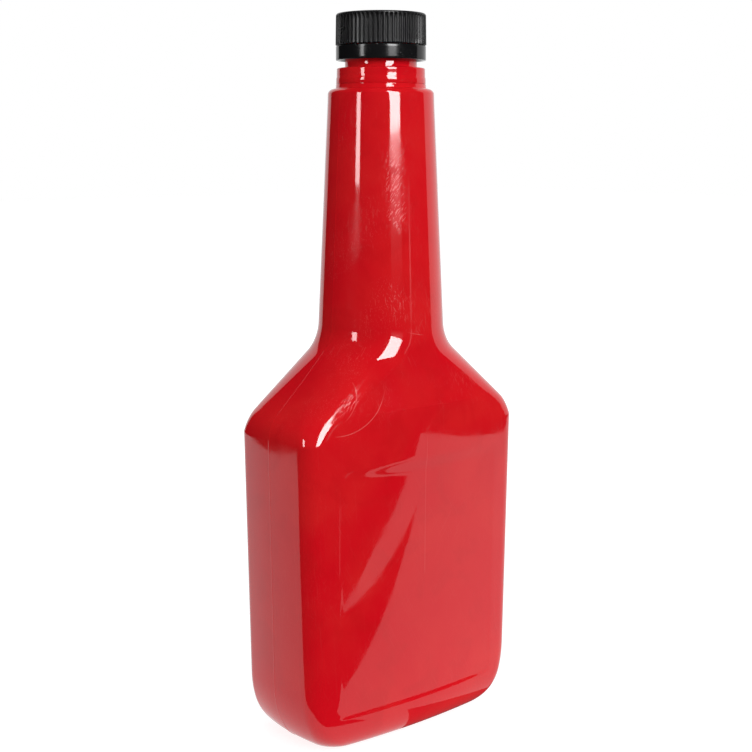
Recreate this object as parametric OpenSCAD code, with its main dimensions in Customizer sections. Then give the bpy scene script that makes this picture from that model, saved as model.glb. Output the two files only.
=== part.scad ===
// Long-necked additive bottle: a blow-moulded shell with a threaded finish, closed by a ribbed
// screw cap with a foam liner, over a tamper-evident band.
// Origin at the middle of the standing face, +Z up. X runs along the broad faces.

/* [Body] */
// Half width at the base, measured before the heel is rounded
base_half_w = 44.8; // [43:0.2:47]
// Half width where the shoulder starts
shoulder_half_w = 46.2; // [44:0.2:49]
// Half depth at the base, at the corners
base_half_d = 19.2; // [18:0.2:21]
// Half depth where the shoulder starts, at the corners
shoulder_half_d = 20.1; // [18:0.2:22]
// How far the broad faces bulge at their middle
broad_bow = 3; // [1:0.2:4]
// How far the narrow faces bulge at their middle
narrow_bow = 1.2; // [0.4:0.2:2]
// Radius of the four upright edges
edge_r = 6.5; // [5:0.5:8]
// Radius of the four upright edges where they reach the base
base_edge_r = 8.7; // [7:0.1:9]
// How far the heel curves in under the narrow faces
heel_in_w = 14.3; // [10:0.1:16]
// How far the heel curves in under the broad faces
heel_in_d = 9.2; // [6:0.1:10]
// Height of the heel's curve on the narrow faces
heel_h_w = 21.9; // [16:0.1:24]
// Height of the heel's curve on the broad faces
heel_h_d = 14.8; // [10:0.1:18]
// Rise of the recess under the base
push_up = 1.8; // [1:0.1:2.4]
// Thickness of the blow-moulded wall
wall = 1.2; // [0.9:0.1:1.5]
// Thickness of the floor at the heel
floor_t = 2; // [1.5:0.1:3]

/* [Label panels] */
// Half width of the recessed panel on each broad face
panel_half_w = 34.3; // [33:0.1:35]
// Height of the panel's lower edge
panel_low_z = 13.5; // [12:0.5:18]
// Height of the panel's upper edge
panel_high_z = 95.5; // [85:0.5:97]
// Depth of the panel
panel_depth = 0.6; // [0.3:0.1:0.8]

/* [Shoulder and neck] */
// Height of the corner between the body and the shoulder
shoulder_z = 110.4; // [106:0.2:114]
// Radius that rounds that corner
shoulder_r = 10.3; // [8:0.1:12]
// Height of the corner between the shoulder and the neck
neck_base_z = 136.1; // [133:0.1:138]
// Radius that fills that corner
neck_fillet_r = 13.1; // [10:0.1:14]
// Radius of the neck at its base
neck_base_r = 21.5; // [20.8:0.1:22]
// Radius of the neck at its top
neck_top_r = 17.5; // [17.2:0.1:18]
// Height of the neck's top shoulder
neck_top_z = 218.5; // [216:0.5:220]
// Radius of the neck's top edge
neck_edge_r = 2.2; // [1.5:0.1:2.4]

/* [Finish] */
// Radius of the collar above the neck
collar_r = 14.6; // [14:0.1:14.8]
// Height of the collar
collar_h = 6.6; // [6:0.1:7]
// Radius of the mouth's bore
mouth_r = 10.8; // [10.4:0.1:10.9]
// Radius of the plain wall that the band surrounds
finish_r = 11.9; // [11.8:0.05:12]
// Radius of the bead that holds the band down
bead_r = 13.2; // [13:0.1:13.3]
// Radius of the wall that carries the thread
thread_wall_r = 12.2; // [12.1:0.05:12.25]
// Radius of the thread's crest
thread_r = 13.35; // [13.2:0.05:13.4]
// Rise of the thread in one turn
pitch = 4.233; // [4.2:0.001:4.25]
// Height from the collar to the mouth's land
finish_h = 15.5; // [15.2:0.1:16]

/* [Screw cap] */
// Radius over the cap's ribs
cap_r = 15.2; // [15.1:0.05:15.4]
// Number of ribs round the cap
rib_count = 60; // [48:4:72]
// Height of the cap
cap_h = 10.1; // [9.8:0.1:10.5]
// Radius of the cap's bore
cap_bore_r = 13.8; // [13.75:0.05:13.9]
// Thickness of the foam liner
liner_t = 0.7; // [0.5:0.1:0.8]

/* [Tamper band] */
// Outer radius of the band
band_r = 15.1; // [15:0.05:15.3]
// Height of the band
band_h = 4.5; // [4.2:0.1:4.6]
// Number of bridge stubs on the band's upper edge
bridge_count = 12; // [8:2:16]

/* [Hidden] */
$fn = 96;

// Heights that stack up from the neck
collar_z = neck_top_z + collar_h;
land_z = collar_z + finish_h;
seat_gap = 0.05;
cap_top_t = 1.2;
cap_top_z = land_z + seat_gap + liner_t + seat_gap + cap_top_t;
cap_low_z = cap_top_z - cap_h;
bridge_gap = 0.08;
bridge_h = 0.32;
band_top_z = cap_low_z - bridge_gap - bridge_h;
band_low_z = band_top_z - band_h;
bead_z = band_low_z + 2.3;

// The faceted shell ends here, and the turned neck top and finish carry on from it
join_z = 210;
join_grow = 1.005;

// Directions of the points round a section, closer together at the corners and the panel's edges
corner_angles = [for (t = [16 : 2.2 : 27]) t];
panel_edge_angles = [28.4, 31.4];
quarter = concat([0, 5.5, 11], corner_angles, panel_edge_angles, [for (t = [37 : 9 : 82]) t]);
half = concat(quarter, [90], [for (i = [len(quarter) - 1 : -1 : 1]) 180 - quarter[i]]);
spokes = concat(half, [for (t = half) t + 180]);

function clamp01(v) = max(0, min(1, v));
function ease(v) = let (c = clamp01(v)) c * c * (3 - 2 * c);
function unit(v) = v / norm(v);

// An outline is four [half width, height] points, with the two inner corners rounded
function bend(a, b, c) = acos(unit(b - a) * unit(c - b));
function arc_start(a, b, c, r) = b - unit(b - a) * r * tan(bend(a, b, c) / 2);
function arc_end(a, b, c, r) = b + unit(c - b) * r * tan(bend(a, b, c) / 2);
function arc_centre(a, b, c, r) = b + unit(unit(c - b) - unit(b - a)) * r / cos(bend(a, b, c) / 2);
function on_line(a, b, z) = a.x + (b.x - a.x) * (z - a.y) / (b.y - a.y);
function on_arc(a, b, c, r, z) =
    let (m = arc_centre(a, b, c, r))
    m.x + sign(b.x - m.x) * sqrt(max(0, r * r - (z - m.y) * (z - m.y)));
function outline_at(p, z) =
    z < arc_start(p[0], p[1], p[2], shoulder_r).y ? on_line(p[0], p[1], z)
    : z < arc_end(p[0], p[1], p[2], shoulder_r).y ? on_arc(p[0], p[1], p[2], shoulder_r, z)
    : z < arc_start(p[1], p[2], p[3], neck_fillet_r).y ? on_line(p[1], p[2], z)
    : z < arc_end(p[1], p[2], p[3], neck_fillet_r).y ? on_arc(p[1], p[2], p[3], neck_fillet_r, z)
    : on_line(p[2], p[3], z);

neck_points = [[neck_base_r, neck_base_z], [neck_top_r, neck_top_z]];
wide_points = concat([[base_half_w, 0], [shoulder_half_w, shoulder_z]], neck_points);
deep_points = concat([[base_half_d, 0], [shoulder_half_d, shoulder_z]], neck_points);
function neck_r(z) = on_line(neck_points[0], neck_points[1], z);

// The heel is a quarter of an ellipse
function heel(z, inward, height) = inward * (1 - sqrt(1 - pow(1 - clamp01(z / height), 2)));
function half_w(z) = outline_at(wide_points, z) - heel(z, heel_in_w, heel_h_w);
function half_d(z) = outline_at(deep_points, z) - heel(z, heel_in_d, heel_h_d);

// The upright edges open out over the shoulder until the section is the neck's circle
round_start_z = shoulder_z - 0.4 * shoulder_r;
function corner_r(z) =
    let (least = min(half_w(z), half_d(z)),
         opening = pow(clamp01((z - round_start_z) / (neck_base_z - shoulder_z)), 0.9),
         at_base = heel(z, base_edge_r - edge_r, heel_h_d))
    z >= neck_base_z ? least : min(least, edge_r + at_base + (least - edge_r) * opening);

// Depth of the label panel at a place on a broad face
panel_edge = 1.6;
panel_top_fade = 6;
function panel_cut(x, z) = panel_depth * ease((panel_half_w - abs(x)) / panel_edge + 0.5)
    * ease((z - panel_low_z) / panel_edge + 0.5) * ease((panel_high_z - z) / panel_top_fade + 0.5);

// A point of the section with half sizes a and b and corner radius r, in the direction t
function spoke(a, b, r, z, t) =
    let (c = abs(cos(t)), s = abs(sin(t)), fa = max(a - r, 0.001), fb = max(b - r, 0.001))
    let (p = a * s <= (b - r) * c ? let (y = a * s / c)
                 [a + narrow_bow * clamp01(fb / 10) * (1 - pow(y / fb, 2)), y]
             : b * c <= (a - r) * s ? let (x = b * c / s)
                 [x, b + broad_bow * clamp01(fa / 30) * (1 - pow(x / fa, 2)) - panel_cut(x, z)]
             : let (along = c * (a - r) + s * (b - r), off = s * (a - r) - c * (b - r))
                 [c, s] * (along + sqrt(max(0, r * r - off * off))))
    [p.x * sign(cos(t)), p.y * sign(sin(t))];

// One ring of the shell: the section at height z, moved in by skin, scaled, and put at height put_z
function ring(z, skin, scale, put_z) =
    let (a = half_w(z) - skin, b = half_d(z) - skin, r = corner_r(z) - skin)
    [for (t = spokes) let (p = spoke(a, b, r, z, t) * scale) [p.x, p.y, put_z]];

// Heights of the rings, from the heel to the neck
function steps(from, to, count) = [for (i = [0 : count - 1]) from + (to - from) * i / count];
bend_low = arc_start(wide_points[0], wide_points[1], wide_points[2], shoulder_r).y;
bend_high = arc_end(wide_points[0], wide_points[1], wide_points[2], shoulder_r).y;
fillet_low = arc_start(wide_points[1], wide_points[2], wide_points[3], neck_fillet_r).y;
fillet_high = arc_end(wide_points[1], wide_points[2], wide_points[3], neck_fillet_r).y;
heel_levels = [for (t = [90 : -12 : 54]) heel_h_w * (1 - sin(t)), 7.5, 10.3, panel_low_z - panel_edge / 2];
outer_levels = concat(heel_levels, [panel_low_z + panel_edge / 2, 18, heel_h_w, 45, 70, 91, 95, 99],
    steps(bend_low, bend_high, 4), steps(bend_high, fillet_low, 3), steps(fillet_low, fillet_high, 4),
    [fillet_high, 175]);
inner_fillet = [for (z = steps(fillet_low, fillet_high, 3)) fillet_low + fillet_high - z];
inner_levels = concat([fillet_high], inner_fillet, [fillet_low - 8, bend_high, shoulder_z, bend_low],
    [92, 60, heel_h_w, 13, 8, 4, 1.2, 0]);
function lifted(z) = z + floor_t * (1 - clamp01(z / heel_h_w));

shell_rings = concat(
    [ring(0, 0, 0.55, push_up * 0.9), ring(0, 0, 0.82, 0)],
    [for (z = outer_levels) ring(z, 0, 1, z)],
    [ring(join_z, 0, join_grow, join_z), ring(join_z, wall, 2 - join_grow, join_z)],
    [for (z = inner_levels) ring(z, wall, 1, lifted(z))]);

// Skin over rings of points that starts and ends at a single point
module skin(rings, first, last) {
    n = len(rings[0]);
    m = len(rings);
    points = concat([first], [for (r = rings) each r], [last]);
    function at(k, j) = 1 + k * n + j % n;
    sides = [for (k = [0 : m - 2], j = [0 : n - 1])
        each [[at(k, j), at(k + 1, j), at(k + 1, j + 1)], [at(k, j), at(k + 1, j + 1), at(k, j + 1)]]];
    first_fan = [for (j = [0 : n - 1]) [0, at(0, j), at(0, j + 1)]];
    last_fan = [for (j = [0 : n - 1]) [at(m - 1, j), m * n + 1, at(m - 1, j + 1)]];
    polyhedron(points, concat(first_fan, sides, last_fan));
}

// Helical ridge of trapezoid section on a wall, right-handed, running out at both ends
thread_step = 15;
runout = 45;
thread_root_half = 0.95;
thread_crest_half = 0.45;
thread_flat_half = 0.35;
thread_sink = 0.3;
module thread(wall_r, crest_r, start_z, from, to) {
    sink = sign(wall_r - crest_r) * thread_sink;
    angles = [for (t = [from : thread_step : to]) t];
    n = len(angles);
    outward = crest_r > wall_r;
    function height(t) = clamp01(min(t - from, to - t) / runout);
    function corners(t) =
        let (h = height(t), tip = wall_r + sink / 3 + (crest_r - wall_r - sink / 3) * h,
             flat = thread_flat_half + (thread_crest_half - thread_flat_half) * h)
        [[wall_r + sink, -thread_root_half], [tip, -flat], [tip, flat], [wall_r + sink, thread_root_half]];
    points = [for (t = angles) each
        [for (p = corners(t)) [p.x * cos(t), p.x * sin(t), start_z + pitch * t / 360 + p.y]]];
    function at(i, k) = i * 4 + k % 4;
    sides = [for (i = [0 : n - 2], k = [0 : 3])
        each [[at(i, k), at(i + 1, k), at(i + 1, k + 1)], [at(i, k), at(i + 1, k + 1), at(i, k + 1)]]];
    start_end = [[0, 1, 2], [0, 2, 3]];
    far_end = [[at(n - 1, 2), at(n - 1, 1), at(n - 1, 0)], [at(n - 1, 3), at(n - 1, 2), at(n - 1, 0)]];
    faces = concat(sides, start_end, far_end);
    polyhedron(points, outward ? [for (f = faces) [f[2], f[1], f[0]]] : faces);
}

module neck_top_and_finish() {
    inner_r = neck_r(join_z) - wall;
    edge_z = neck_top_z - neck_edge_r;
    edge_x = neck_r(edge_z) - neck_edge_r;
    edge_arc = [for (t = [0 : 18 : 90]) [edge_x + neck_edge_r * cos(t), edge_z + neck_edge_r * sin(t)]];
    step_r = collar_r + 0.35;
    step_h = 1;
    chamfer = 0.6;
    bead_flat = 0.6;
    bead_slope = 0.9;
    collar_wall = 1.3;
    rotate_extrude() polygon(concat(
        [[inner_r, join_z], [neck_r(join_z), join_z]],
        edge_arc,
        [[step_r, neck_top_z], [step_r, neck_top_z + step_h], [collar_r, neck_top_z + step_h + 0.4]],
        [[collar_r, collar_z - chamfer], [collar_r - chamfer, collar_z], [finish_r, collar_z]],
        [[finish_r, bead_z], [bead_r, bead_z], [bead_r, bead_z + bead_flat]],
        [[thread_wall_r, bead_z + bead_flat + bead_slope], [thread_wall_r, land_z - chamfer]],
        [[thread_wall_r - 0.5, land_z], [mouth_r, land_z], [mouth_r, collar_z]],
        [[collar_r - collar_wall, collar_z - 1.8], [collar_r - collar_wall, neck_top_z - 0.4]],
        [[edge_x - 0.6, neck_top_z - wall - 0.3], [neck_r(edge_z) - wall, edge_z - 0.8]]));
}

// Where the bottle's thread starts, how far it turns, and how far below it the cap's thread starts
thread_z = land_z - 7.4;
thread_turn = 450;
cap_thread_drop = 1.7;
cap_thread_play = 0.45;
cap_thread_turns = [180, 540];

module bottle() {
    color("#c3101b")
    union() {
        skin(shell_rings, [0, 0, push_up], [0, 0, floor_t + push_up * 0.7]);
        neck_top_and_finish();
        thread(thread_wall_r, thread_r, thread_z, 0, thread_turn);
    }
}

// Ribs are trapezoids, with corners at these shares of the angle between ribs
rib_root_share = 0.34;
rib_crest_share = 0.22;
rib_depth = 0.6;
rib_low = 0.45;
rib_clear = 1.05;
module ribs() {
    pitch_angle = 360 / rib_count;
    root_r = cap_r - rib_depth;
    rib = [[-rib_root_share, root_r], [-rib_crest_share, cap_r], [rib_crest_share, cap_r],
        [rib_root_share, root_r]];
    linear_extrude(cap_h - rib_low - rib_clear)
        difference() {
            polygon([for (i = [0 : rib_count - 1], p = rib)
                p.y * [cos((i + p.x) * pitch_angle), sin((i + p.x) * pitch_angle)]]);
            circle(r = cap_bore_r + 0.5);
        }
}

module screw_cap() {
    skirt_r = cap_r - 0.45;
    lip_r = cap_r - 0.15;
    rim_r = 0.9;
    rim = [for (t = [0 : 18 : 90]) [lip_r - rim_r + rim_r * cos(t), cap_top_z - rim_r + rim_r * sin(t)]];
    ceiling_z = cap_top_z - cap_top_t;
    color("#17171a")
    union() {
        rotate_extrude() polygon(concat(
            [[cap_bore_r, cap_low_z], [lip_r, cap_low_z], [lip_r, cap_low_z + 0.4]],
            [[skirt_r, cap_low_z + 0.5], [skirt_r, cap_top_z - 1.15]],
            rim,
            [[0, cap_top_z], [0, ceiling_z], [cap_bore_r, ceiling_z]]));
        translate([0, 0, cap_low_z + rib_low]) ribs();
        thread(cap_bore_r, thread_wall_r + cap_thread_play, thread_z - cap_thread_drop,
            cap_thread_turns[0], cap_thread_turns[1]);
    }
}

module tamper_band() {
    bore_r = band_r - 0.9;
    hook_z = bead_z - 0.5;
    hook_r = finish_r + 0.7;
    slot_count = 8;
    slot_w = 1.2;
    stub_w = 1;
    stub_t = 0.55;
    color("#1b1b1e")
    union() {
        difference() {
            rotate_extrude() polygon([
                [bore_r, band_top_z], [band_r - 0.15, band_top_z], [band_r, band_top_z - 0.2],
                [band_r, band_low_z + 0.3], [band_r - 0.2, band_low_z], [bore_r - 0.3, band_low_z],
                [hook_r, hook_z - 0.4], [hook_r, hook_z], [hook_r + 0.4, hook_z], [bore_r, hook_z - 0.8]]);
            for (i = [0 : slot_count - 1])
                rotate(i * 360 / slot_count)
                    translate([hook_r - 0.5, -slot_w / 2, band_low_z - 0.1])
                        cube([bore_r - hook_r + 0.4, slot_w, hook_z - band_low_z + 0.3]);
        }
        for (i = [0 : bridge_count - 1])
            rotate((i + 0.5) * 360 / bridge_count)
                translate([bore_r + 0.15, -stub_w / 2, band_top_z - 0.2])
                    cube([stub_t, stub_w, bridge_h + 0.2]);
    }
}

module cap_liner() {
    liner_r = cap_bore_r - 0.5;
    low = land_z + seat_gap;
    color("#e8e6df")
    rotate_extrude() polygon([
        [0, low], [liner_r - 0.1, low], [liner_r, low + 0.1],
        [liner_r, low + liner_t - 0.1], [liner_r - 0.1, low + liner_t], [0, low + liner_t]]);
}

bottle();
screw_cap();
tamper_band();
cap_liner();
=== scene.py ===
"""Long-necked red additive bottle with a black ribbed cap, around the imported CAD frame.

Lengths are written in millimetres and turned into metres when a mesh is made.
+Z is up, X runs along the broad faces and -Y is the front.
"""
import math

import bpy
import numpy as np
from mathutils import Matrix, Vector


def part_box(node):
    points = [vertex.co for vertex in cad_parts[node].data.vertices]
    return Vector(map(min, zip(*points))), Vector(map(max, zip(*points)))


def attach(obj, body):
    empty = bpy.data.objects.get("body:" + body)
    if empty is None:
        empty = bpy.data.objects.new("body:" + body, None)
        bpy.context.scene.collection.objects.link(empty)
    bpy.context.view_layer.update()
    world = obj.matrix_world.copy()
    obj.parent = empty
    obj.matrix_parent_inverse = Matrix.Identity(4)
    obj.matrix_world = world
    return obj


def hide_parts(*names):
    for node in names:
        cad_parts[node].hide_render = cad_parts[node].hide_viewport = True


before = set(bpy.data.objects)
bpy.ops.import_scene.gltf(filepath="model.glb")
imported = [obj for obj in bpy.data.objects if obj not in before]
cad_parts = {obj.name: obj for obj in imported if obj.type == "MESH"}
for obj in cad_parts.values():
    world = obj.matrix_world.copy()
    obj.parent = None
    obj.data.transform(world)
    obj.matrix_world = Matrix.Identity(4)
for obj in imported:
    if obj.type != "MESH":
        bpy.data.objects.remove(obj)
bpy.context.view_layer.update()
MM = 0.001
TAU = 2 * math.pi

# ---------------------------------------------------------------- design sizes, millimetres
BASE_HALF_W, SHOULDER_HALF_W = 44.8, 46.2
BASE_HALF_D, SHOULDER_HALF_D = 19.2, 20.1
BROAD_BOW, NARROW_BOW, MOST_RISE = 3.0, 1.2, 0.3
FULL_BOW_W, FULL_BOW_D = 30, 10
EDGE_R, BASE_EDGE_R = 6.5, 10.5
HEEL_IN_W, HEEL_IN_D = 14.3, 11.0
HEEL_H_W, HEEL_H_D, HEEL_POWER_D = 21.9, 13.0, 2.5
PUSH_UP, PINCH_DEPTH, PINCH_W = 1.8, 0.35, 1.1
SEAM_H, SEAM_HEEL_H, SEAM_HEEL_Z, SEAM_W, SEAM_ROOM = 0.05, 0.13, 3, 0.36, 0.075
WALL, FLOOR = 1.2, 2.0
PANEL_HALF_W, PANEL_LOW, PANEL_HIGH, PANEL_DEPTH = 34.3, 13.5, 95.5, 0.6
SHOULDER_Z, SHOULDER_R = 110.4, 10.3
NECK_BASE_Z, NECK_FILLET_R, NECK_BASE_R = 136.1, 13.1, 21.5
NECK_TOP_Z, NECK_TOP_R = 218.5, 17.5
COLLAR_R, MOUTH_R, FINISH_R, BEAD_R = 14.6, 10.8, 11.9, 13.2
THREAD_WALL_R, THREAD_R, PITCH, THREAD_TURNS = 12.2, 13.35, 4.233, 1.25
THREAD_DROP, CAP_THREAD_DROP = 7.4, 9.1
THREAD_HALF, THREAD_FLANK, THREAD_RUN_OUT = 0.95, 0.5, 0.12
CAP_R, CAP_BORE_R, RIBS = 14.95, 13.8, 60
CAP_TOP_WALL, CAP_DRAFT, CAP_RIM_R, CAP_TOP_DISH = 1.2, 0.17, 0.7, 0.2
BAND_R, BAND_INNER_R, BRIDGES = 14.85, 14.1, 12
POLE_R = 1.2


def node_span(node):
    """Lowest and highest z of a CAD node, in millimetres."""
    low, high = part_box(node)
    return low.z / MM, high.z / MM


LAND_Z = node_span("bottle")[1]
CAP_LOW, CAP_TOP = node_span("screw_cap")
BAND_LOW, BRIDGE_TOP = node_span("tamper_band")
LINER_LOW, LINER_TOP = node_span("cap_liner")
BAND_TOP = BRIDGE_TOP - 0.32
COLLAR_Z = NECK_TOP_Z + 6.6
BEAD_Z = BAND_LOW + 2.3


# ---------------------------------------------------------------- outlines
def ease(v):
    v = np.clip(v, 0, 1)
    return v * v * (3 - 2 * v)


def bump(v, width):
    """A smooth ridge one high and about width across."""
    return np.exp(-(v / (0.5 * width)) ** 2)


def rounded_corner(a, b, c, radius):
    """Start, end and centre of the arc that rounds corner b of the line a-b-c."""
    u, v = (b - a) / np.linalg.norm(b - a), (c - b) / np.linalg.norm(c - b)
    half = math.acos(float(u @ v)) / 2
    toward = (v - u) / np.linalg.norm(v - u)
    reach = radius * math.tan(half)
    return b - u * reach, b + v * reach, b + toward * radius / math.cos(half)


def outline(base, shoulder):
    """Half size against height: a line from base to shoulder to neck, with its two corners rounded."""
    p = [np.array(q, float) for q in (
        (base, 0), (shoulder, SHOULDER_Z), (NECK_BASE_R, NECK_BASE_Z), (NECK_TOP_R, NECK_TOP_Z))]
    arcs = [(*rounded_corner(p[0], p[1], p[2], SHOULDER_R), SHOULDER_R, p[1]),
            (*rounded_corner(p[1], p[2], p[3], NECK_FILLET_R), NECK_FILLET_R, p[2])]

    def at(z):
        z = np.asarray(z, float)
        size = np.interp(z, [q[1] for q in p], [q[0] for q in p])
        for start, end, centre, radius, corner in arcs:
            side = math.copysign(1, corner[0] - centre[0])
            on_arc = centre[0] + side * np.sqrt(np.maximum(0, radius ** 2 - (z - centre[1]) ** 2))
            size = np.where((z > start[1]) & (z < end[1]), on_arc, size)
        return size
    return at


wide_at = outline(BASE_HALF_W, SHOULDER_HALF_W)
deep_at = outline(BASE_HALF_D, SHOULDER_HALF_D)


def heel(z, inward, height, power=2.0):
    """How far the heel draws in the wall at height z: a quarter ellipse, or fuller with a higher power."""
    return inward * (1 - (1 - (1 - np.clip(z / height, 0, 1)) ** power) ** (1 / power))


def half_w(z):
    return wide_at(z) - heel(z, HEEL_IN_W, HEEL_H_W)


def half_d(z):
    return deep_at(z) - heel(z, HEEL_IN_D, HEEL_H_D, HEEL_POWER_D)


def corner_r(z):
    least = np.minimum(half_w(z), half_d(z))
    start = SHOULDER_Z - 0.4 * SHOULDER_R
    opening = np.clip((z - start) / (NECK_BASE_Z - SHOULDER_Z), 0, 1) ** 0.9
    at_base = heel(z, BASE_EDGE_R - EDGE_R, HEEL_H_D)
    blended = np.minimum(least, EDGE_R + at_base + (least - EDGE_R) * opening)
    return np.where(z >= NECK_BASE_Z, least, blended)


def neck_r(z):
    return float(wide_at(z))


# ---------------------------------------------------------------- the bottle's surface
def spoke_angles():
    """Directions round a section, close together at the seam, the corners and the panel's edges."""
    quarter = [0, 0.12, 0.25, 0.42, 0.7, 1.2]
    for start, stop, step in ((2.2, 10, 1.2), (10, 27.5, 0.7), (27.5, 32.5, 0.3), (32.5, 89, 1.8)):
        quarter += list(np.arange(start, stop - 0.01, step))
    quarter += [89.3, 89.7]
    half = quarter + [90] + [180 - a for a in quarter[:0:-1]]
    return np.radians(half + [a + 180 for a in half])


SPOKES = spoke_angles()


def panel_cut(x, z):
    """Depth of the label panel: a crisp lower edge, a fading top edge, and shallow sides that run out."""
    low_edge, fade, side_edge = 1.5, 5.0, 2.4
    side_step = 0.04
    dish = (PANEL_DEPTH - side_step) * (1 - np.clip(np.abs(x) / PANEL_HALF_W, 0, 1) ** 3)
    return ((dish + side_step) * ease((PANEL_HALF_W - np.abs(x)) / side_edge + 0.5)
            * ease((z - PANEL_LOW) / low_edge + 0.5) * ease((PANEL_HIGH - z) / fade + 0.5))


def section(z, skin=0.0):
    """Points of the body's section at height z, moved in by skin; its arcs meet the bowed faces smoothly."""
    a, b, r = float(half_w(z)) - skin, float(half_d(z)) - skin, float(corner_r(z)) - skin
    c, s = np.abs(np.cos(SPOKES)), np.abs(np.sin(SPOKES))
    flat_w, flat_d = max(a - r, 1e-3), max(b - r, 1e-3)
    safe_c, safe_s = np.maximum(c, 1e-9), np.maximum(s, 1e-9)
    y_side, x_face = a * s / safe_c, b * c / safe_s
    rise = np.clip(float(half_d(z)) - SHOULDER_HALF_D, 0, MOST_RISE)
    side_bow = NARROW_BOW * min(1, flat_d / FULL_BOW_D) ** 2
    face_bow = (BROAD_BOW - rise) * min(1, flat_w / FULL_BOW_W) ** 2
    if z < HEEL_H_W:
        kept = min(1, flat_w / (float(wide_at(z)) - EDGE_R)) ** 2
        lost = BROAD_BOW * (1 - kept)
        b, flat_d, face_bow = b + lost, flat_d + lost, BROAD_BOW * kept
    side_lean, face_lean = math.atan(2 * side_bow / flat_d), math.atan(2 * face_bow / flat_w)
    mid_x, mid_y = a - r * math.cos(side_lean), b - r * math.cos(face_lean)
    side_end, face_end = mid_y + r * math.sin(side_lean), mid_x + r * math.sin(face_lean)
    bow_w = side_bow * (1 - np.clip(y_side / side_end, 0, 1) ** 2)
    bow_d = face_bow * (1 - np.clip(x_face / face_end, 0, 1) ** 2)
    along = c * mid_x + s * mid_y
    off = s * mid_x - c * mid_y
    reach = along + np.sqrt(np.maximum(0, r * r - off * off))
    on_side = a * s <= side_end * c
    on_face = ~on_side & (b * c <= face_end * s)
    x = np.where(on_side, a + bow_w, np.where(on_face, x_face, c * reach))
    y = np.where(on_side, y_side, np.where(on_face, b + bow_d - panel_cut(x_face, z), s * reach))
    x, y = x * np.sign(np.cos(SPOKES)), y * np.sign(np.sin(SPOKES))
    return np.column_stack([x, y, np.full(len(x), float(z))])


def spread(*stretches):
    """Heights along stretches of (start, stop, step)."""
    return np.concatenate([np.arange(a, b - 1e-6, s) for a, b, s in stretches])


def seam_ridge(points):
    """Draws in each ring a little and leaves the mould's parting line standing on its two narrow sides.

    The line is proudest at the heel, where the parison was pinched off."""
    p = points.copy()
    height = SEAM_H + SEAM_HEEL_H * bump(p[0, 2] - SEAM_HEEL_Z, 8)
    lift = height * bump(p[:, 1], SEAM_W) - SEAM_ROOM
    p[:, 0] += np.sign(p[:, 0]) * lift * np.minimum(1, np.abs(p[:, 0]) / 8)
    return p


def body_rings():
    """Outer rings, from the middle of the pushed-up base, with its pinch-off line, to the neck's top edge."""
    rings = []
    base = section(0)
    for scale in (0.03, 0.1, 0.2, 0.3, 0.4, 0.48, 0.55, 0.6, 0.64, 0.68, 0.72, 0.76, 0.8, 0.84, 0.9, 0.96):
        disc = base * [scale, scale, 1]
        pinch = PINCH_DEPTH * bump(disc[:, 1], PINCH_W) * ease((0.82 - scale) / 0.1)
        disc[:, 2] = PUSH_UP * ease((0.84 - scale) / 0.36) - pinch
        rings.append(disc)
    heel_z = HEEL_H_W * (1 - np.sin(np.radians(np.arange(90, 62, -2.0))))
    levels = np.concatenate([heel_z, spread(
        (2.8, 11.6, 0.55), (11.6, 15.6, 0.25), (15.6, 22, 0.8), (22, 90, 2.5), (90, 101, 0.8),
        (101, 118, 0.6), (118, 131, 1.2), (131, 144, 0.7), (144, 210, 3.0), (210, 215.2, 1.3))])
    rings += [seam_ridge(section(z)) for z in levels]
    return rings


def ring(radius, z, angles):
    """One ring; its radius is a number or has one value for each angle."""
    return np.column_stack([radius * np.cos(angles), radius * np.sin(angles), np.full(len(angles), z)])


def turned(points, angles=SPOKES):
    """Rings of circles through (radius, z) points."""
    return [ring(r, z, angles) for r, z in points]


def arc(cx, cz, radius, start, stop, count):
    """Points of an arc about (cx, cz), angles in degrees from +r towards +z."""
    return [(cx + radius * math.cos(t), cz + radius * math.sin(t))
            for t in np.radians(np.linspace(start, stop, count))]


def thread_lift(angles, z, start_z, first, last):
    """Height, 0 to 1, of a right-handed helical ridge where it crosses z, from first to last in turns."""
    lift = np.zeros(len(angles))
    for turn in range(math.ceil(last)):
        along = np.mod(angles, TAU) / TAU + turn
        inside = np.clip(np.minimum(along - first, last - along) / THREAD_RUN_OUT, 0, 1)
        profile = np.clip((THREAD_HALF - np.abs(z - start_z - PITCH * along)) / THREAD_FLANK, 0, 1)
        lift = np.maximum(lift, ease(inside) * ease(profile))
    return lift


def thread_rings(low, high):
    """Rings of the mouth's wall, which carries the bottle's thread."""
    start_z, step = LAND_Z - THREAD_DROP, 0.12
    crest = THREAD_R - THREAD_WALL_R
    return [ring(THREAD_WALL_R + crest * thread_lift(SPOKES, z, start_z, 0, THREAD_TURNS), z, SPOKES)
            for z in np.arange(low, high, step)]


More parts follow.
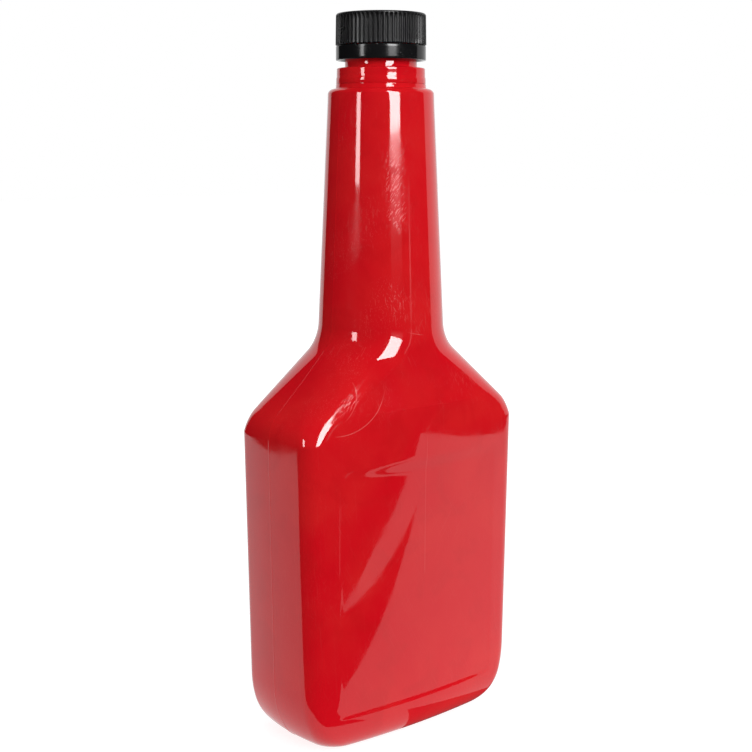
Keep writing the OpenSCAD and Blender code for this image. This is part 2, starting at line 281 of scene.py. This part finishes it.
def finish_rings():
    """Outer rings from the neck's top edge to the land, then the bore down to the collar."""
    edge_h, edge_w = 1.9, 2.4
    edge_z = NECK_TOP_Z - edge_h
    top_r = neck_r(edge_z)
    shoulder = [(top_r - edge_w + edge_w * math.cos(t), edge_z + edge_h * math.sin(t))
                for t in np.radians(np.linspace(6, 90, 12))]
    step_r = COLLAR_R + 0.35
    foot_z, groove_z, belt_z = NECK_TOP_Z + 0.25, NECK_TOP_Z + 1.45, NECK_TOP_Z + 3.5
    outer = shoulder + [(step_r + 0.25, NECK_TOP_Z + 0.02), (step_r + 0.08, NECK_TOP_Z + 0.1)]
    outer += [(step_r, foot_z), (step_r - 0.07, groove_z - 0.25), (step_r - 0.16, groove_z - 0.12)]
    outer += arc(step_r - 0.16, groove_z, 0.1, -80, -180, 4)
    outer += arc(step_r - 0.16, groove_z, 0.1, 180, 80, 4)
    outer += [(step_r - 0.12, groove_z + 0.16), (step_r - 0.17, belt_z - 0.3), (step_r - 0.25, belt_z)]
    outer += [(COLLAR_R + 0.02 - 0.02 * k, belt_z + 0.25 + k) for k in (0, 1, 2)]
    outer += arc(COLLAR_R - 0.42, COLLAR_Z - 0.4, 0.4, 8, 90, 6) + [(FINISH_R + 0.5, COLLAR_Z)]
    outer += [(FINISH_R + 0.15, COLLAR_Z + 0.05), (FINISH_R, COLLAR_Z + 0.3), (FINISH_R, BEAD_Z - 0.2)]
    outer += [(FINISH_R + 0.1, BEAD_Z), (BEAD_R - 0.15, BEAD_Z)]
    outer += arc(BEAD_R - 0.2, BEAD_Z + 0.25, 0.2, -60, 45, 5) + [(THREAD_WALL_R + 0.1, BEAD_Z + 1.4)]
    rings = turned(outer) + thread_rings(BEAD_Z + 1.6, LAND_Z - 0.7)
    lip = arc(THREAD_WALL_R - 0.5, LAND_Z - 0.5, 0.5, 5, 90, 6)
    lip += arc(MOUTH_R + 0.25, LAND_Z - 0.25, 0.25, 90, 180, 5)
    bore = [(MOUTH_R, z) for z in np.linspace(LAND_Z - 2, COLLAR_Z + 0.4, 6)]
    hollow = [(MOUTH_R + 0.2, COLLAR_Z), (COLLAR_R - 1.5, COLLAR_Z - 1.5), (COLLAR_R - 1.3, COLLAR_Z - 2.1),
              (COLLAR_R - 1.3, NECK_TOP_Z), (COLLAR_R - 1.1, NECK_TOP_Z - 0.6),
              (top_r - edge_w, NECK_TOP_Z - 1.4), (top_r - 1.8, NECK_TOP_Z - 2.4), (neck_r(214) - WALL, 214.0)]
    return rings + turned(lip + bore + hollow)


def inner_rings():
    """Rings of the inside, from the neck down to the floor."""
    levels = spread((0, 4, 0.8), (4, 22, 1.6), (22, 100, 8), (100, 145, 1.5), (145, 212, 8))[::-1]
    rings = []
    for z in levels:
        loop = section(z, WALL)
        loop[:, 2] += FLOOR * (1 - min(1, z / HEEL_H_W))
        rings.append(loop)
    floor = rings[-1]
    for scale in (0.9, 0.75, 0.6, 0.45, 0.3, 0.15, 0.04):
        disc = floor * [scale, scale, 1]
        disc[:, 2] = FLOOR + PUSH_UP * ease((0.95 - scale) / 0.5)
        rings.append(disc)
    return rings


# ---------------------------------------------------------------- meshes
def mesh_object(name, verts, faces, body, node):
    mesh = bpy.data.meshes.new(name)
    mesh.from_pydata((np.asarray(verts) * MM).tolist(), [], faces)
    mesh.validate()
    mesh.shade_smooth()
    piece = bpy.data.objects.new(name, mesh)
    bpy.context.scene.collection.objects.link(piece)
    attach(piece, body)
    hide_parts(node)
    return piece


def closed_skin(rings, close="poles"):
    """Vertices and faces over rings of equal length, closed by a pole at each end or by joining the ends."""
    n, m = len(rings[0]), len(rings)
    verts = np.concatenate(rings)
    faces = []
    last = m if close == "loop" else m - 1
    for k in range(last):
        low, high = k * n, ((k + 1) % m) * n
        faces += [(low + j, low + (j + 1) % n, high + (j + 1) % n, high + j) for j in range(n)]
    if close == "poles":
        poles = [rings[0].mean(0), rings[-1].mean(0)]
        verts = np.concatenate([verts, poles])
        top = (m - 1) * n
        faces += [(m * n, (j + 1) % n, j) for j in range(n)]
        faces += [(m * n + 1, top + j, top + (j + 1) % n) for j in range(n)]
    return verts, faces


def make_bottle():
    rings = body_rings() + finish_rings() + inner_rings()
    verts, faces = closed_skin(rings)
    return mesh_object("bottle_shell", verts, faces, "bottle_body", "bottle")


def make_cap():
    """Ribbed skirt, plain rim and top outside; threaded bore inside."""
    angles = np.arange(RIBS * 10) * TAU / (RIBS * 10)
    crest = ease((np.cos(angles * RIBS) + 0.55) / 1.1)
    rib_depth = 0.55

    def rib_ring(z, depth):
        lean = CAP_DRAFT * (z - CAP_LOW) / (CAP_TOP - CAP_LOW)
        return ring(CAP_R - lean - rib_depth * depth * (1 - crest), z, angles)

    outer = turned([(CAP_BORE_R + 0.1, CAP_LOW), (CAP_R - 0.25, CAP_LOW)], angles)
    outer += [rib_ring(CAP_LOW + 0.08, 0.7)]
    outer += [rib_ring(z, 1) for z in np.linspace(CAP_LOW + 0.35, CAP_TOP - 1.25, 8)]
    outer += [rib_ring(CAP_TOP - 1.0, 0.8), rib_ring(CAP_TOP - 0.8, 0.35)]
    rim_x, dish_z = CAP_R - CAP_DRAFT - CAP_RIM_R, CAP_TOP - CAP_TOP_DISH
    outer += turned(arc(rim_x, CAP_TOP - CAP_RIM_R, CAP_RIM_R, 8, 90, 8), angles)
    outer += turned([(13.2, CAP_TOP), (12.6, CAP_TOP), (12.3, CAP_TOP - 0.12)], angles)
    outer += turned([(11.5, CAP_TOP - 0.18), (6, dish_z), (POLE_R, dish_z)], angles)
    ceiling = CAP_TOP - CAP_TOP_WALL
    inner = [(POLE_R, ceiling), (6, ceiling), (12.8, ceiling), (CAP_BORE_R - 0.3, ceiling - 0.1)]
    start_z, first, last = LAND_Z - CAP_THREAD_DROP, 0.5, 1.5
    crest_h = CAP_BORE_R - THREAD_WALL_R - 0.45
    walls = [ring(CAP_BORE_R - crest_h * thread_lift(angles, z, start_z, first, last), z, angles)
             for z in np.arange(ceiling - 0.5, CAP_LOW + 0.1, -0.15)]
    verts, faces = closed_skin(outer + turned(inner, angles) + walls, close="loop")
    n = len(angles)
    top_pole, ceiling_pole = len(outer) - 1, len(outer)
    faces = [f for f in faces if not (f[0] // n == top_pole and f[2] // n == ceiling_pole)]
    verts = np.concatenate([verts, [[0, 0, dish_z], [0, 0, ceiling]]])
    a, b = top_pole * n, ceiling_pole * n
    faces += [(a + j, a + (j + 1) % n, len(verts) - 2) for j in range(n)]
    faces += [(b + (j + 1) % n, b + j, len(verts) - 1) for j in range(n)]
    return mesh_object("ribbed_cap", verts, faces, "cap", "screw_cap")


def make_band():
    """Smooth ring with an inward hook and a low inner lip; its bridges stand on the upper edge."""
    angles = np.arange(240) * TAU / 240
    out_r, in_r = BAND_R, BAND_INNER_R
    top_edge, foot_edge = 0.08, 0.25
    hook_z, hook_r = BEAD_Z - 0.5, FINISH_R + 0.7
    lip_r, lip_top = out_r - 0.4, BRIDGE_TOP - 0.05
    points = [(in_r, lip_top), (lip_r, lip_top), (lip_r, BAND_TOP)]
    points += arc(out_r - top_edge, BAND_TOP - top_edge, top_edge, 90, 0, 4)
    points += [(out_r, z) for z in np.linspace(BAND_TOP - 0.8, BAND_LOW + 0.8, 4)]
    points += arc(out_r - foot_edge, BAND_LOW + foot_edge, foot_edge, 0, -90, 4)
    points += [(in_r - 0.3, BAND_LOW + 0.02), (hook_r, hook_z - 0.4), (hook_r, hook_z)]
    points += [(hook_r + 0.4, hook_z), (in_r, hook_z - 0.8), (in_r, hook_z + 1)]
    verts, faces = closed_skin(turned(points, angles)[::-1], close="loop")
    verts = list(map(tuple, verts))
    for i in range(BRIDGES):
        centre = (i + 0.5) * TAU / BRIDGES
        first = len(verts)
        for z, half in ((BAND_TOP - 0.2, 0.55), (BRIDGE_TOP - 0.08, 0.4), (BRIDGE_TOP, 0.3)):
            for r, side in ((in_r + 0.15, -1), (out_r - 0.25, -1), (out_r - 0.25, 1), (in_r + 0.15, 1)):
                t = centre + side * half / r
                verts.append((r * math.cos(t), r * math.sin(t), z))
        for k in range(2):
            for j in range(4):
                a, b = first + 4 * k + j, first + 4 * k + (j + 1) % 4
                faces.append((a, b, b + 4, a + 4))
        faces += [(first + 3, first + 2, first + 1, first), tuple(first + 8 + j for j in range(4))]
    return mesh_object("retaining_band", verts, faces, "band", "tamper_band")


def make_liner():
    """Foam disc with a rounded rim, pressed on the mouth's land by the cap."""
    angles = np.arange(144) * TAU / 144
    liner_r = CAP_BORE_R - 0.5
    middle = (LINER_LOW + LINER_TOP) / 2
    half = (LINER_TOP - LINER_LOW) / 2
    rim = [(liner_r - 0.2 + 0.2 * math.cos(t), middle + half * math.sin(t))
           for t in np.radians(np.linspace(-90, 90, 9))]
    points = [(0.8, LINER_LOW), (6, LINER_LOW), (10.6, LINER_LOW), (11, LINER_LOW + 0.02)] + rim
    points += [(11, LINER_TOP), (6, LINER_TOP), (0.8, LINER_TOP)]
    verts, faces = closed_skin(turned(points, angles))
    return mesh_object("foam_liner", verts, faces, "liner", "cap_liner")


bottle = make_bottle()
cap = make_cap()
band = make_band()
liner = make_liner()


# ---------------------------------------------------------------- materials
class Graph:
    """A material's node tree, built from short calls."""

    def __init__(self, name, color, roughness):
        self.material = bpy.data.materials.new(name)
        self.material.use_nodes = True
        self.nodes, self.links = self.material.node_tree.nodes, self.material.node_tree.links
        self.shader = self.nodes["Principled BSDF"]
        self.put(self.shader, **{"Base Color": (*color, 1), "Roughness": roughness})
        self.object_point = self.nodes.new("ShaderNodeTexCoord").outputs["Object"]

    def put(self, node, **values):
        """Sets a node's inputs, or links them when the value is another node's output."""
        for key, value in values.items():
            socket = node.inputs[int(key[1:])] if key[0] == "_" else node.inputs[key]
            if isinstance(value, bpy.types.NodeSocket):
                self.links.new(value, socket)
            else:
                socket.default_value = value

    def add(self, kind, **values):
        node = self.nodes.new("ShaderNode" + kind)
        self.put(node, **values)
        return node

    def math(self, operation, a, b=0.0):
        node = self.nodes.new("ShaderNodeMath")
        node.operation = operation
        self.put(node, _0=a, _1=b)
        return node.outputs[0]

    def ramp(self, value, low, high, start=0.0, stop=1.0):
        """Value mapped from low..high to start..stop, smooth and clamped."""
        node = self.nodes.new("ShaderNodeMapRange")
        node.interpolation_type = "SMOOTHSTEP"
        self.put(node, Value=value, _1=low, _2=high, _3=start, _4=stop)
        return node.outputs[0]

    def place(self, rotation, scale, shift):
        """The object's coordinates turned, then stretched and shifted."""
        turned = self.add("Mapping", Vector=self.object_point, Rotation=rotation)
        return self.add("Mapping", Vector=turned.outputs[0], Scale=scale, Location=shift).outputs[0]

    def noise(self, size_mm, detail, distortion=0.0):
        """Noise whose lumps are about size_mm across."""
        return self.add("TexNoise", Vector=self.object_point, Scale=0.5 / (size_mm * MM), Detail=detail,
                        Distortion=distortion).outputs[0]

    def axes(self):
        parts = self.add("SeparateXYZ", Vector=self.object_point)
        return parts.outputs[0], parts.outputs[1], parts.outputs[2]

    def streaks(self, tilt, width_mm, length_mm, cutoff, shift=0.0):
        """Thin scratches, tilted from upright in the plane of the broad faces."""
        thin, long = 0.5 / (width_mm * MM), 0.5 / (length_mm * MM)
        point = self.place((0, math.radians(tilt), 0), (thin, thin, long), (shift, shift, shift))
        lines = self.add("TexNoise", Vector=point, Scale=1.0, Detail=1.0).outputs[0]
        return self.ramp(lines, cutoff, cutoff + 0.05)

    def most(self, *values):
        top = values[0]
        for value in values[1:]:
            top = self.math("MAXIMUM", top, value)
        return top

    def mix(self, factor, a, b):
        node = self.nodes.new("ShaderNodeMix")
        node.data_type = "RGBA"
        self.put(node, _0=factor, _6=a, _7=b)
        return node.outputs[2]

    def bumps(self, *layers):
        """Chains (height, depth in mm) layers into the shader's normal."""
        normal = None
        for height, depth in layers:
            bump = self.add("Bump", Height=height, Strength=1.0, Distance=depth * MM)
            if normal:
                self.put(bump, Normal=normal)
            normal = bump.outputs[0]
        self.put(self.shader, Normal=normal)


def arc_scratch(g, x, y, z, centre, radius, span, width):
    """A curved scratch on the front: the low side of a circle in the x-z plane, kept between two x values."""
    point = g.add("CombineXYZ", X=x, Y=0.0, Z=z).outputs[0]
    reach = g.nodes.new("ShaderNodeVectorMath")
    reach.operation = "DISTANCE"
    g.put(reach, _0=point, _1=(centre[0] * MM, 0, centre[1] * MM))
    off = g.math("ABSOLUTE", g.math("SUBTRACT", reach.outputs["Value"], radius * MM))
    line = g.ramp(off, 0.3 * width * MM, width * MM, 1, 0)
    taper = 4
    ends = g.math("MULTIPLY", g.ramp(x, span[0] * MM, (span[0] + taper) * MM),
                  g.ramp(x, (span[1] - taper) * MM, span[1] * MM, 1, 0))
    front = g.math("MULTIPLY", ends, g.math("LESS_THAN", y, 0.0))
    front = g.math("MULTIPLY", front, g.math("LESS_THAN", z, centre[1] * MM))
    return g.math("MULTIPLY", line, front)


def zone(g, x, y, z, across, up, soft):
    """A soft-edged patch of the front between two x and two z values, in millimetres."""
    sides = g.math("MULTIPLY", g.ramp(x, across[0] * MM, (across[0] + soft) * MM),
                   g.ramp(x, (across[1] - soft) * MM, across[1] * MM, 1, 0))
    ends = g.math("MULTIPLY", g.ramp(z, up[0] * MM, (up[0] + soft) * MM),
                  g.ramp(z, (up[1] - soft) * MM, up[1] * MM, 1, 0))
    return g.math("MULTIPLY", g.math("MULTIPLY", sides, ends), g.math("LESS_THAN", y, 0.0))


CENTRE_LINE_X = 1.0


def red_plastic():
    """Glossy red moulded plastic: a faint orange peel, hazy patches, scuffs and hairline scratches."""
    red, faded = (0.565, 0.0036, 0.0095, 1), (0.585, 0.010, 0.0125, 1)
    deep, scuffed = (0.50, 0.0052, 0.0085, 1), (0.72, 0.16, 0.15, 1)
    g = Graph("red_plastic", red[:3], 0.07)
    g.put(g.shader, IOR=1.5)
    x, y, z = g.axes()
    cloud = g.noise(16, 3, distortion=0.6)
    patches = g.ramp(g.noise(11, 3), 0.46, 0.68)
    handled = g.math("MULTIPLY", g.ramp(z, 0.105, 0.125), g.ramp(z, 0.205, 0.216, 1, 0))
    worn = g.math("MULTIPLY", patches, g.math("ADD", g.math("MULTIPLY", handled, 0.7), 0.15))
    hair = g.most(g.streaks(28, 0.16, 9, 0.655), g.streaks(-37, 0.14, 7, 0.665, 3.0),
                  g.streaks(4, 0.18, 16, 0.67, 7.0))
    hair = g.math("MULTIPLY", hair, g.math("ADD", worn, 0.12))
    marks = g.most(arc_scratch(g, x, y, z, (-34, 128), 19, (-37, -14.5), 0.26),
                   arc_scratch(g, x, y, z, (-40, 125), 14, (-33, -24), 0.2),
                   arc_scratch(g, x, y, z, (8, 190), 52, (-7, 2), 0.16))
    neck_wear = zone(g, x, y, z, (-17, 0), (168, 206), 9)
    scuffs = g.math("MULTIPLY", g.streaks(-35, 0.2, 3, 0.57, 11.0),
                    g.most(neck_wear, zone(g, x, y, z, (-36, -22), (112, 124), 5)))
    from_line = g.math("ABSOLUTE", g.math("SUBTRACT", x, CENTRE_LINE_X * MM))
    line = g.math("MULTIPLY", g.ramp(from_line, 0.08 * MM, 0.25 * MM, 1, 0),
                  zone(g, x, y, z, (-5, 7), (56, 106), 3))
    marks = g.most(marks, g.math("MULTIPLY", line, 0.5))
    foot = g.ramp(z, 0.0, 0.0035, 1, 0)
    scratched = g.math("ADD", g.math("MULTIPLY", hair, 0.55), g.math("MULTIPLY", marks, 0.8))
    scratched = g.math("MINIMUM", scratched, 1.0)
    body = g.mix(g.ramp(cloud, 0.35, 0.7), red, faded)
    body = g.mix(g.ramp(g.noise(6, 4, distortion=0.8), 0.45, 0.72, 0, 0.45), body, deep)
    g.put(g.shader, **{"Base Color": g.mix(g.math("MULTIPLY", scratched, 0.3), body, scuffed)})
    haze = g.math("ADD", g.ramp(g.noise(5, 4), 0.3, 0.8, 0.02, 0.07), g.math("MULTIPLY", worn, 0.05))
    smeared = g.math("MULTIPLY", neck_wear, g.ramp(g.noise(1.3, 4), 0.34, 0.66, 0.02, 0.11))
    haze = g.math("ADD", haze, smeared)
    rubbed = g.math("ADD", g.math("MULTIPLY", scratched, 0.3), g.math("MULTIPLY", foot, 0.25))
    rough = g.math("ADD", g.math("ADD", haze, rubbed), g.math("MULTIPLY", scuffs, 0.25))
    g.put(g.shader, Roughness=rough)
    g.bumps((g.noise(24, 1), 0.16), (g.noise(7, 2), 0.018), (g.noise(0.8, 2), 0.0007),
            (g.math("MULTIPLY", g.most(scratched, scuffs), -1.0), 0.006))
    return g.material


def black_plastic(name, roughness, grain, shine):
    """Near black plastic with a fine grain and specks of dust."""
    g = Graph(name, (0.008, 0.008, 0.009), roughness)
    g.put(g.shader, **{"Specular IOR Level": shine})
    dust = g.ramp(g.noise(0.35, 2), 0.72, 0.78)
    shade = g.mix(g.noise(4, 3), (0.004, 0.004, 0.0045, 1), (0.008, 0.008, 0.0085, 1))
    g.put(g.shader, **{"Base Color": g.mix(g.math("MULTIPLY", dust, 0.3), shade, (0.12, 0.12, 0.12, 1))})
    rough = g.ramp(g.noise(6, 2), 0.3, 0.75, roughness - 0.03, roughness + 0.05)
    g.put(g.shader, Roughness=g.math("ADD", rough, g.math("MULTIPLY", dust, 0.3)))
    g.bumps((g.noise(0.25, 3), grain))
    return g.material


def foam():
    """Off-white closed-cell foam."""
    g = Graph("liner_foam", (0.80, 0.79, 0.75), 0.8)
    cells = g.add("TexVoronoi", Vector=g.object_point, Scale=1 / (0.45 * MM)).outputs["Distance"]
    g.put(g.shader, **{"Base Color": g.mix(g.noise(2.5, 3), (0.74, 0.73, 0.69, 1), (0.85, 0.84, 0.81, 1))})
    g.put(g.shader, Roughness=g.ramp(cells, 0.1, 0.6, 0.72, 0.9))
    g.bumps((cells, 0.05))
    return g.material


cap_black = black_plastic("cap_black", roughness=0.3, grain=0.0008, shine=0.22)
band_black = black_plastic("band_black", roughness=0.13, grain=0.0006, shine=0.35)
for piece, material in ((bottle, red_plastic()), (cap, cap_black), (band, band_black), (liner, foam())):
    piece.data.materials.append(material)


# ---------------------------------------------------------------- camera
AZIMUTH, PITCH_DOWN, YAW = math.radians(40), math.radians(9.7), math.radians(-0.2)
DISTANCE, CAMERA_Z, LENS = 464.0, 201.4, 65.73


def make_camera():
    """A camera at the photograph's viewing angle, fitted to the bottle's outline."""
    heading = AZIMUTH + YAW
    forward = Vector((math.sin(heading) * math.cos(PITCH_DOWN), math.cos(heading) * math.cos(PITCH_DOWN),
                      -math.sin(PITCH_DOWN)))
    data = bpy.data.cameras.new("camera")
    data.sensor_width = 36
    data.lens = LENS
    data.clip_start = 0.01
    camera = bpy.data.objects.new("camera", data)
    camera.location = Vector((-DISTANCE * math.sin(AZIMUTH), -DISTANCE * math.cos(AZIMUTH), CAMERA_Z)) * MM
    camera.rotation_euler = forward.to_track_quat("-Z", "Y").to_euler()
    bpy.context.scene.collection.objects.link(camera)
    bpy.context.scene.camera = camera


make_camera()


# ---------------------------------------------------------------- studio, millimetres round the bottle
AMBIENT, DARK_ROOM, WHITE_ROOM = 0.2, 0.012, 1.0
FLOOR_HALF_M, FLOOR_DROP_M = 4, 0.0002
AIM_Z_M = 0.12
LAMP_R, BACKDROP_R = 2500, 900
TABLE_RIGHT, TABLE_FAR = 480, -900
TABLE_EDGE = ((-450, 65), (-30, 63), (3, 51), (14, 38), (19, 55), (200, 65), (TABLE_RIGHT, 65))
VIEW_AZ = -40


def direction(azimuth):
    """Level unit vector; 0 degrees faces the front, -Y, and 90 degrees faces +X."""
    t = math.radians(azimuth)
    return np.array([math.sin(t), -math.cos(t), 0.0])


def map_range(nodes, low, high, start, stop):
    """A node that maps low..high to start..stop."""
    node = nodes.new("ShaderNodeMapRange")
    for socket, value in zip(node.inputs[1:5], (low, high, start, stop)):
        socket.default_value = value
    return node


def glow(name, strength, fade=None):
    """Plain white emission; fade is the two heights in millimetres between which it grows from none."""
    material = bpy.data.materials.new(name)
    material.use_nodes = True
    nodes, links = material.node_tree.nodes, material.node_tree.links
    nodes.clear()
    light = nodes.new("ShaderNodeEmission")
    light.inputs["Strength"].default_value = strength
    if fade:
        place = nodes.new("ShaderNodeNewGeometry")
        split = nodes.new("ShaderNodeSeparateXYZ")
        level = map_range(nodes, fade[0] * MM, fade[1] * MM, 0.0, strength)
        level.interpolation_type = "SMOOTHSTEP"
        links.new(place.outputs["Position"], split.inputs[0])
        links.new(split.outputs[2], level.inputs[0])
        links.new(level.outputs[0], light.inputs["Strength"])
    output = nodes.new("ShaderNodeOutputMaterial")
    links.new(light.outputs[0], output.inputs[0])
    return material


def card(name, rows, material, diffuse=False):
    """A sheet over rows of points that only reflections, and if asked diffuse light, can see."""
    count = len(rows[0])
    verts = [tuple(np.asarray(p) * MM) for row in rows for p in row]
    faces = [(k * count + j, k * count + j + 1, (k + 1) * count + j + 1, (k + 1) * count + j)
             for k in range(len(rows) - 1) for j in range(count - 1)]
    mesh = bpy.data.meshes.new(name)
    mesh.from_pydata(verts, [], faces)
    mesh.materials.append(material)
    sheet = bpy.data.objects.new(name, mesh)
    bpy.context.scene.collection.objects.link(sheet)
    sheet.visible_camera = sheet.visible_shadow = sheet.visible_transmission = False
    sheet.visible_diffuse = diffuse


def wall_card(name, azimuths, radius, low, high, material, diffuse=False):
    """An upright curved card between two azimuths and two heights."""
    turns = np.linspace(azimuths[0], azimuths[1], 13)
    rows = [[direction(t) * radius + [0, 0, z] for t in turns] for z in (low, high)]
    card(name, rows, material, diffuse)


def make_right_strip():
    """The tall lamp to the right of the camera, narrower towards its top."""
    edges = ((455, -21, 0), (1300, -24, 2), (2200, -24, -8), (3900, -24, -19))
    rows = [[direction(t) * LAMP_R + [0, 0, z] for t in np.linspace(first, last, 9)]
            for z, first, last in edges]
    card("right_strip", rows, glow("right_strip", 20))


def soft_light(name, azimuth, height, distance, size, power):
    """A large square lamp aimed at the bottle, unseen in reflections."""
    data = bpy.data.lights.new(name, "AREA")
    data.size = size * MM
    data.energy = power
    lamp = bpy.data.objects.new(name, data)
    place = Vector(direction(azimuth) * distance + [0, 0, height]) * MM
    lamp.location = place
    lamp.rotation_euler = (Vector((0, 0, AIM_Z_M)) - place).to_track_quat("-Z", "Y").to_euler()
    lamp.visible_glossy = False
    lamp.visible_camera = False
    bpy.context.scene.collection.objects.link(lamp)


def make_floor():
    """A pale floor, a little darker round the bottle, that only the camera sees."""
    mesh = bpy.data.meshes.new("floor")
    corners = [(u * FLOOR_HALF_M, v * FLOOR_HALF_M, 0) for u, v in ((-1, -1), (1, -1), (1, 1), (-1, 1))]
    mesh.from_pydata(corners, [], [(0, 1, 2, 3)])
    floor = bpy.data.objects.new("floor", mesh)
    floor.location.z = -FLOOR_DROP_M
    bpy.context.scene.collection.objects.link(floor)
    material = bpy.data.materials.new("floor")
    material.use_nodes = True
    shader = material.node_tree.nodes["Principled BSDF"]
    shader.inputs["Base Color"].default_value = (0.3, 0.3, 0.3, 1)
    shader.inputs["Roughness"].default_value = 0.9
    shader.inputs["Emission Color"].default_value = (1, 1, 1, 1)
    nodes, links = material.node_tree.nodes, material.node_tree.links
    place = nodes.new("ShaderNodeNewGeometry")
    reach = nodes.new("ShaderNodeVectorMath")
    reach.operation = "LENGTH"
    level = map_range(nodes, 0.1, 0.6, 0.86, 1.0)
    links.new(place.outputs["Position"], reach.inputs[0])
    links.new(reach.outputs["Value"], level.inputs[0])
    links.new(level.outputs[0], shader.inputs["Emission Strength"])
    mesh.materials.append(material)
    floor.visible_glossy = floor.visible_diffuse = False


def make_world():
    """White for the camera, dark in reflections and dim for diffuse light."""
    world = bpy.data.worlds.new("world")
    bpy.context.scene.world = world
    world.use_nodes = True
    nodes, links = world.node_tree.nodes, world.node_tree.links
    sky = nodes["Background"]
    path = nodes.new("ShaderNodeLightPath")
    level = nodes.new("ShaderNodeMix")
    unseen = nodes.new("ShaderNodeMix")
    unseen.inputs[2].default_value, unseen.inputs[3].default_value = AMBIENT, DARK_ROOM
    links.new(path.outputs["Is Glossy Ray"], unseen.inputs[0])
    links.new(path.outputs["Is Camera Ray"], level.inputs[0])
    links.new(unseen.outputs[0], level.inputs[2])
    level.inputs[3].default_value = WHITE_ROOM
    links.new(level.outputs[0], sky.inputs["Strength"])
    sky.inputs["Color"].default_value = (1, 1, 1, 1)


def make_table_glow():
    """The white table as reflections see it: its near edge lies just in front of the bottle.

    The hem is more white table in front of that edge on the right, the slip a dim patch in front of the hem,
    and the shade a dim sheet, a painted shadow of the bottle on the table at the foot of its front."""
    toward, right = direction(VIEW_AZ), direction(VIEW_AZ + 90)

    def flat(points, z=-0.4):
        return [right * u + toward * v + [0, 0, z] for u, v in points]

    white = glow("table_glow", 0.92)
    card("table_glow", [flat([(u, TABLE_FAR) for u, v in TABLE_EDGE]), flat(TABLE_EDGE)], white, diffuse=True)
    card("table_hem", [flat([(108, 84), (300, 64.5), (TABLE_RIGHT, 64.5)]),
                       flat([(108, 85), (200, 92), (TABLE_RIGHT, 92)])], white)
    card("table_slip", [flat([(160, 104), (262, 143)]), flat([(158, 112), (258, 154)])],
         glow("table_slip", 0.45))
    # Painted shadow: a dim sheet where the bottle shades the table, seen only in reflections.
    shade = [[(-6, -12, -0.3), (35, -6, -0.3)], [(5, -35, -0.3), (55, -15, -0.3)]]
    card("table_shade", shade, glow("table_shade", 0.12))


make_floor()
make_table_glow()
make_world()
wall_card("backdrop", (65, 184), BACKDROP_R, -1, 1100, glow("backdrop", 0.88), diffuse=True)
make_right_strip()
wall_card("right_skirt", (-21, 0), LAMP_R, 60, 455, glow("right_skirt", 0.9, (60, 455)))
wall_card("left_strip", (-93, -84), LAMP_R, 335, 1300, glow("left_strip", 13))
wall_card("left_skirt", (-93, -84), LAMP_R, 120, 335, glow("left_skirt", 0.3, (120, 335)))
wall_card("thin_strip", (15.5, 18), LAMP_R, 30, 330, glow("thin_strip", 1.1))
soft_light("key", -15, 750, 1400, 700, 16.5)
soft_light("right_fill", 35, 250, 1500, 700, 7.5)
soft_light("left_fill", -95, 250, 1500, 600, 6)
soft_light("top", 0, 1600, 60, 700, 7.5)
bpy.context.scene.view_settings.view_transform = "Standard"
